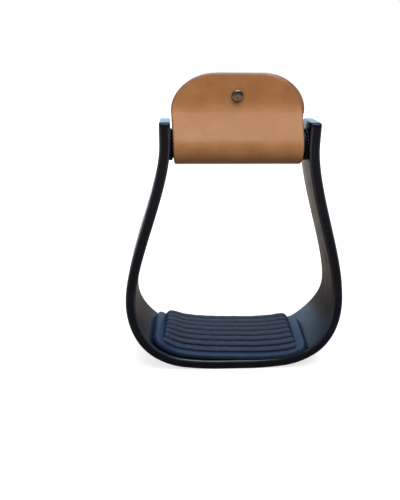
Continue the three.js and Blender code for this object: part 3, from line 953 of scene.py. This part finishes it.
# The tread pad: moulded rubber glued on the tread, a flat sheet with eight round-topped ribs that
# run from arm to arm, low in front and high behind. It was glued on a little skew and off centre.
pad_half_length = 53 * mm
pad_half_depth = tread_depth / 2 - 2 * mm
pad_glue = 0.1 * mm
pad_thickness = 3.1 * mm
pad_corner_radius = 6 * mm
pad_edge_radius = 0.9 * mm
rib_count = 8
rib_overlap = 0.25 * mm
front_rib_flank, rear_rib_flank = 0.3 * mm, 3.6 * mm
front_rib_crown, rib_crown = 1.3 * mm, 2.6 * mm
rib_sink = 0.4 * mm
rib_runout = 9 * mm
rib_end_share = 0.4
rib_fullness = 0.45
rib_wear = 0.05 * mm
long_wave, short_wave = 3.1 * mm, 1.3 * mm
long_wave_shift, short_wave_shift = 9, -31
rib_end_radius = 2.3 * mm
pad_end_rim, pad_front_rim, pad_rear_rim = 6 * mm, 4.7 * mm, 0.4 * mm
pad_shift, pad_forward = -2.8 * mm, 0.7 * mm
pad_skew = np.radians(-2.6)
pad_corner_steps, pad_edge_steps, rib_end_steps, pad_steps, crown_steps = 16, 6, 12, 90, 15
tread_inner_radius = tread_radius - strip_thickness
corner_inner_radius = corner_radius - strip_thickness


def on_tread(along, forward, lift):
    """Points over the strip's inner face: a distance along it from the middle, to the front, and up.

    The first two are turned by the pad's skew and shifted, and then bent over the flat, the tread's
    arc and the corner's arc.
    """
    skewed = along * np.cos(pad_skew) + forward * np.sin(pad_skew) + pad_shift
    forward = forward * np.cos(pad_skew) - along * np.sin(pad_skew) + pad_forward
    far = np.abs(skewed)
    side = np.where(skewed < 0, -1.0, 1.0)
    arc_end = rest_half + tread_inner_radius * tread_turn
    tread = (far - rest_half) / tread_inner_radius
    corner = tread_turn + (far - arc_end) / corner_inner_radius
    stretches = [far <= rest_half, far <= arc_end]
    x = np.select(stretches, [far, rest_half + (tread_inner_radius - lift) * np.sin(tread)],
                  corner_x + (corner_inner_radius - lift) * np.sin(corner))
    z = np.select(stretches, [strip_thickness + lift + 0 * far,
                              tread_radius - (tread_inner_radius - lift) * np.cos(tread)],
                  corner_z - (corner_inner_radius - lift) * np.cos(corner))
    return np.stack(np.broadcast_arrays(side * x, -forward, z), axis=-1)


def pad_sheet_surface():
    """Rings round the sheet: rounded rectangles whose reach follows the sheet's rounded corners."""
    along = close_to_ends(pad_half_length, pad_corner_radius, pad_corner_steps, pad_steps)[:, None]
    into = np.clip(pad_corner_radius - pad_half_length + np.abs(along), 0, None)
    half = pad_half_depth - pad_corner_radius + np.sqrt(pad_corner_radius ** 2 - into ** 2)
    rise, reach = rounded_ring(pad_thickness / 2, half, pad_edge_radius, pad_edge_steps)
    return on_tread(along, reach, pad_glue + pad_thickness / 2 + rise)


def rib_surface(share):
    """Rings round one rib: a full half oval on two flanks, drawn in to round ends in plan.

    The share runs from 0 for the front rib to 1 for the rear one. The flanks rise towards the rear
    by a parabola, and fall towards each end by another over the length of the run-out. The crowns
    rise more quickly, by a fourth power, and are worn by two waves along each rib.
    """
    pitch = (2 * pad_half_depth - pad_front_rim - pad_rear_rim) / rib_count
    half = (pitch + rib_overlap) / 2
    middle = pad_half_depth - pad_front_rim - pitch * (0.5 + share * (rib_count - 1))
    length = pad_half_length - pad_end_rim
    along = close_to_ends(length, rib_end_radius, rib_end_steps, pad_steps)[1:-1, None]
    into = np.clip(1 - (length - np.abs(along)) / rib_end_radius, 0, None)
    swell = np.sqrt(1 - into ** 2)
    runout = np.clip(rib_runout - length + np.abs(along), 0, None) / rib_runout
    flank = front_rib_flank + (rear_rib_flank - front_rib_flank) * (1 - (1 - share) ** 2)
    flank = flank * (1 - (1 - rib_end_share) * runout ** 2)
    angle = np.linspace(-np.pi / 2, np.pi / 2, crown_steps)
    reach = np.concatenate([half * np.sin(angle), [half, -half]]) * swell
    wear = rib_wear * (np.sin(along / long_wave + long_wave_shift * share)
                       + np.sin(along / short_wave + short_wave_shift * share))
    height = front_rib_crown + (rib_crown - front_rib_crown) * (1 - (1 - share) ** 4)
    crown = np.cos(angle) ** rib_fullness * (height - wear) * swell
    rise = np.concatenate([flank + crown, np.full((len(along), 2), -rib_sink)], axis=1)
    return on_tread(along, middle + reach, pad_glue + pad_thickness + rise)


def new_moulded_rubber():
    """Black rubber: smooth on the sheet, dull and scuffed on the ribs, dark between them. The sheet's
    colour is blue-black, partly the rubber's own dark tone and partly a painted reflection of the blue
    sky.
    """
    lint_grey = (0.11, 0.12, 0.135, 1)
    drag = (0.35, 1, 1)
    pitted_depth = 0.06 * mm
    material, tree, shader = new_material("moulded_rubber", Specular_IOR_Level=0.2)
    place = add(tree, "ShaderNodeTexCoord").outputs["Object"]
    crown = kept_mark(tree, "crown")
    # Painted reflection: the sheet's dark rubber is tinted blue to stand in for the sky it mirrors, and
    # the grooves between the ribs take the same colour.
    sheet_with_painted_sky = shared(tree, mottle, place, Size=8 * mm, Dark=(0.005, 0.013, 0.033, 1),
                    Light=(0.008, 0.021, 0.054, 1))["Color"]
    drawn = add(tree, "ShaderNodeMapping", {"Vector": place, "Scale": drag}).outputs[0]
    scuffs = shared(tree, mottle, drawn, Size=1.1 * mm, Softness=0.75, Dark=(0.01, 0.013, 0.024, 1),
                    Light=(0.037, 0.04, 0.06, 1))["Color"]
    colour = blend_colour(tree, crown, sheet_with_painted_sky, scuffs)
    lint = shared(tree, specks, place, Spacing=2.4 * mm, Radius_Share=0.09, Kept=0.25)["Mask"]
    colour = blend_colour(tree, lint, colour, lint_grey)
    pitted = shared(tree, grain, drawn, Cell=0.9 * mm, Noise_Size=0.4 * mm, Noise_Share=0.7)["Height"]
    finish_material(tree, shader, colour, scaled(tree, crown, low=0.5, high=0.72), pitted, pitted_depth)
    return material


rubber = new_moulded_rubber()
pad = add_piece("ribbed_pad", [pad_sheet_surface()], "frame", rubber)
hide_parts("tread_pad")
crown_mark = np.append(np.cos(np.linspace(-np.pi / 2, np.pi / 2, crown_steps)), [0, 0])
for index in range(rib_count):
    rib = add_piece("pad_rib_%d" % (index + 1), [rib_surface(index / (rib_count - 1))], "frame",
                    rubber, {"crown": [crown_mark]})
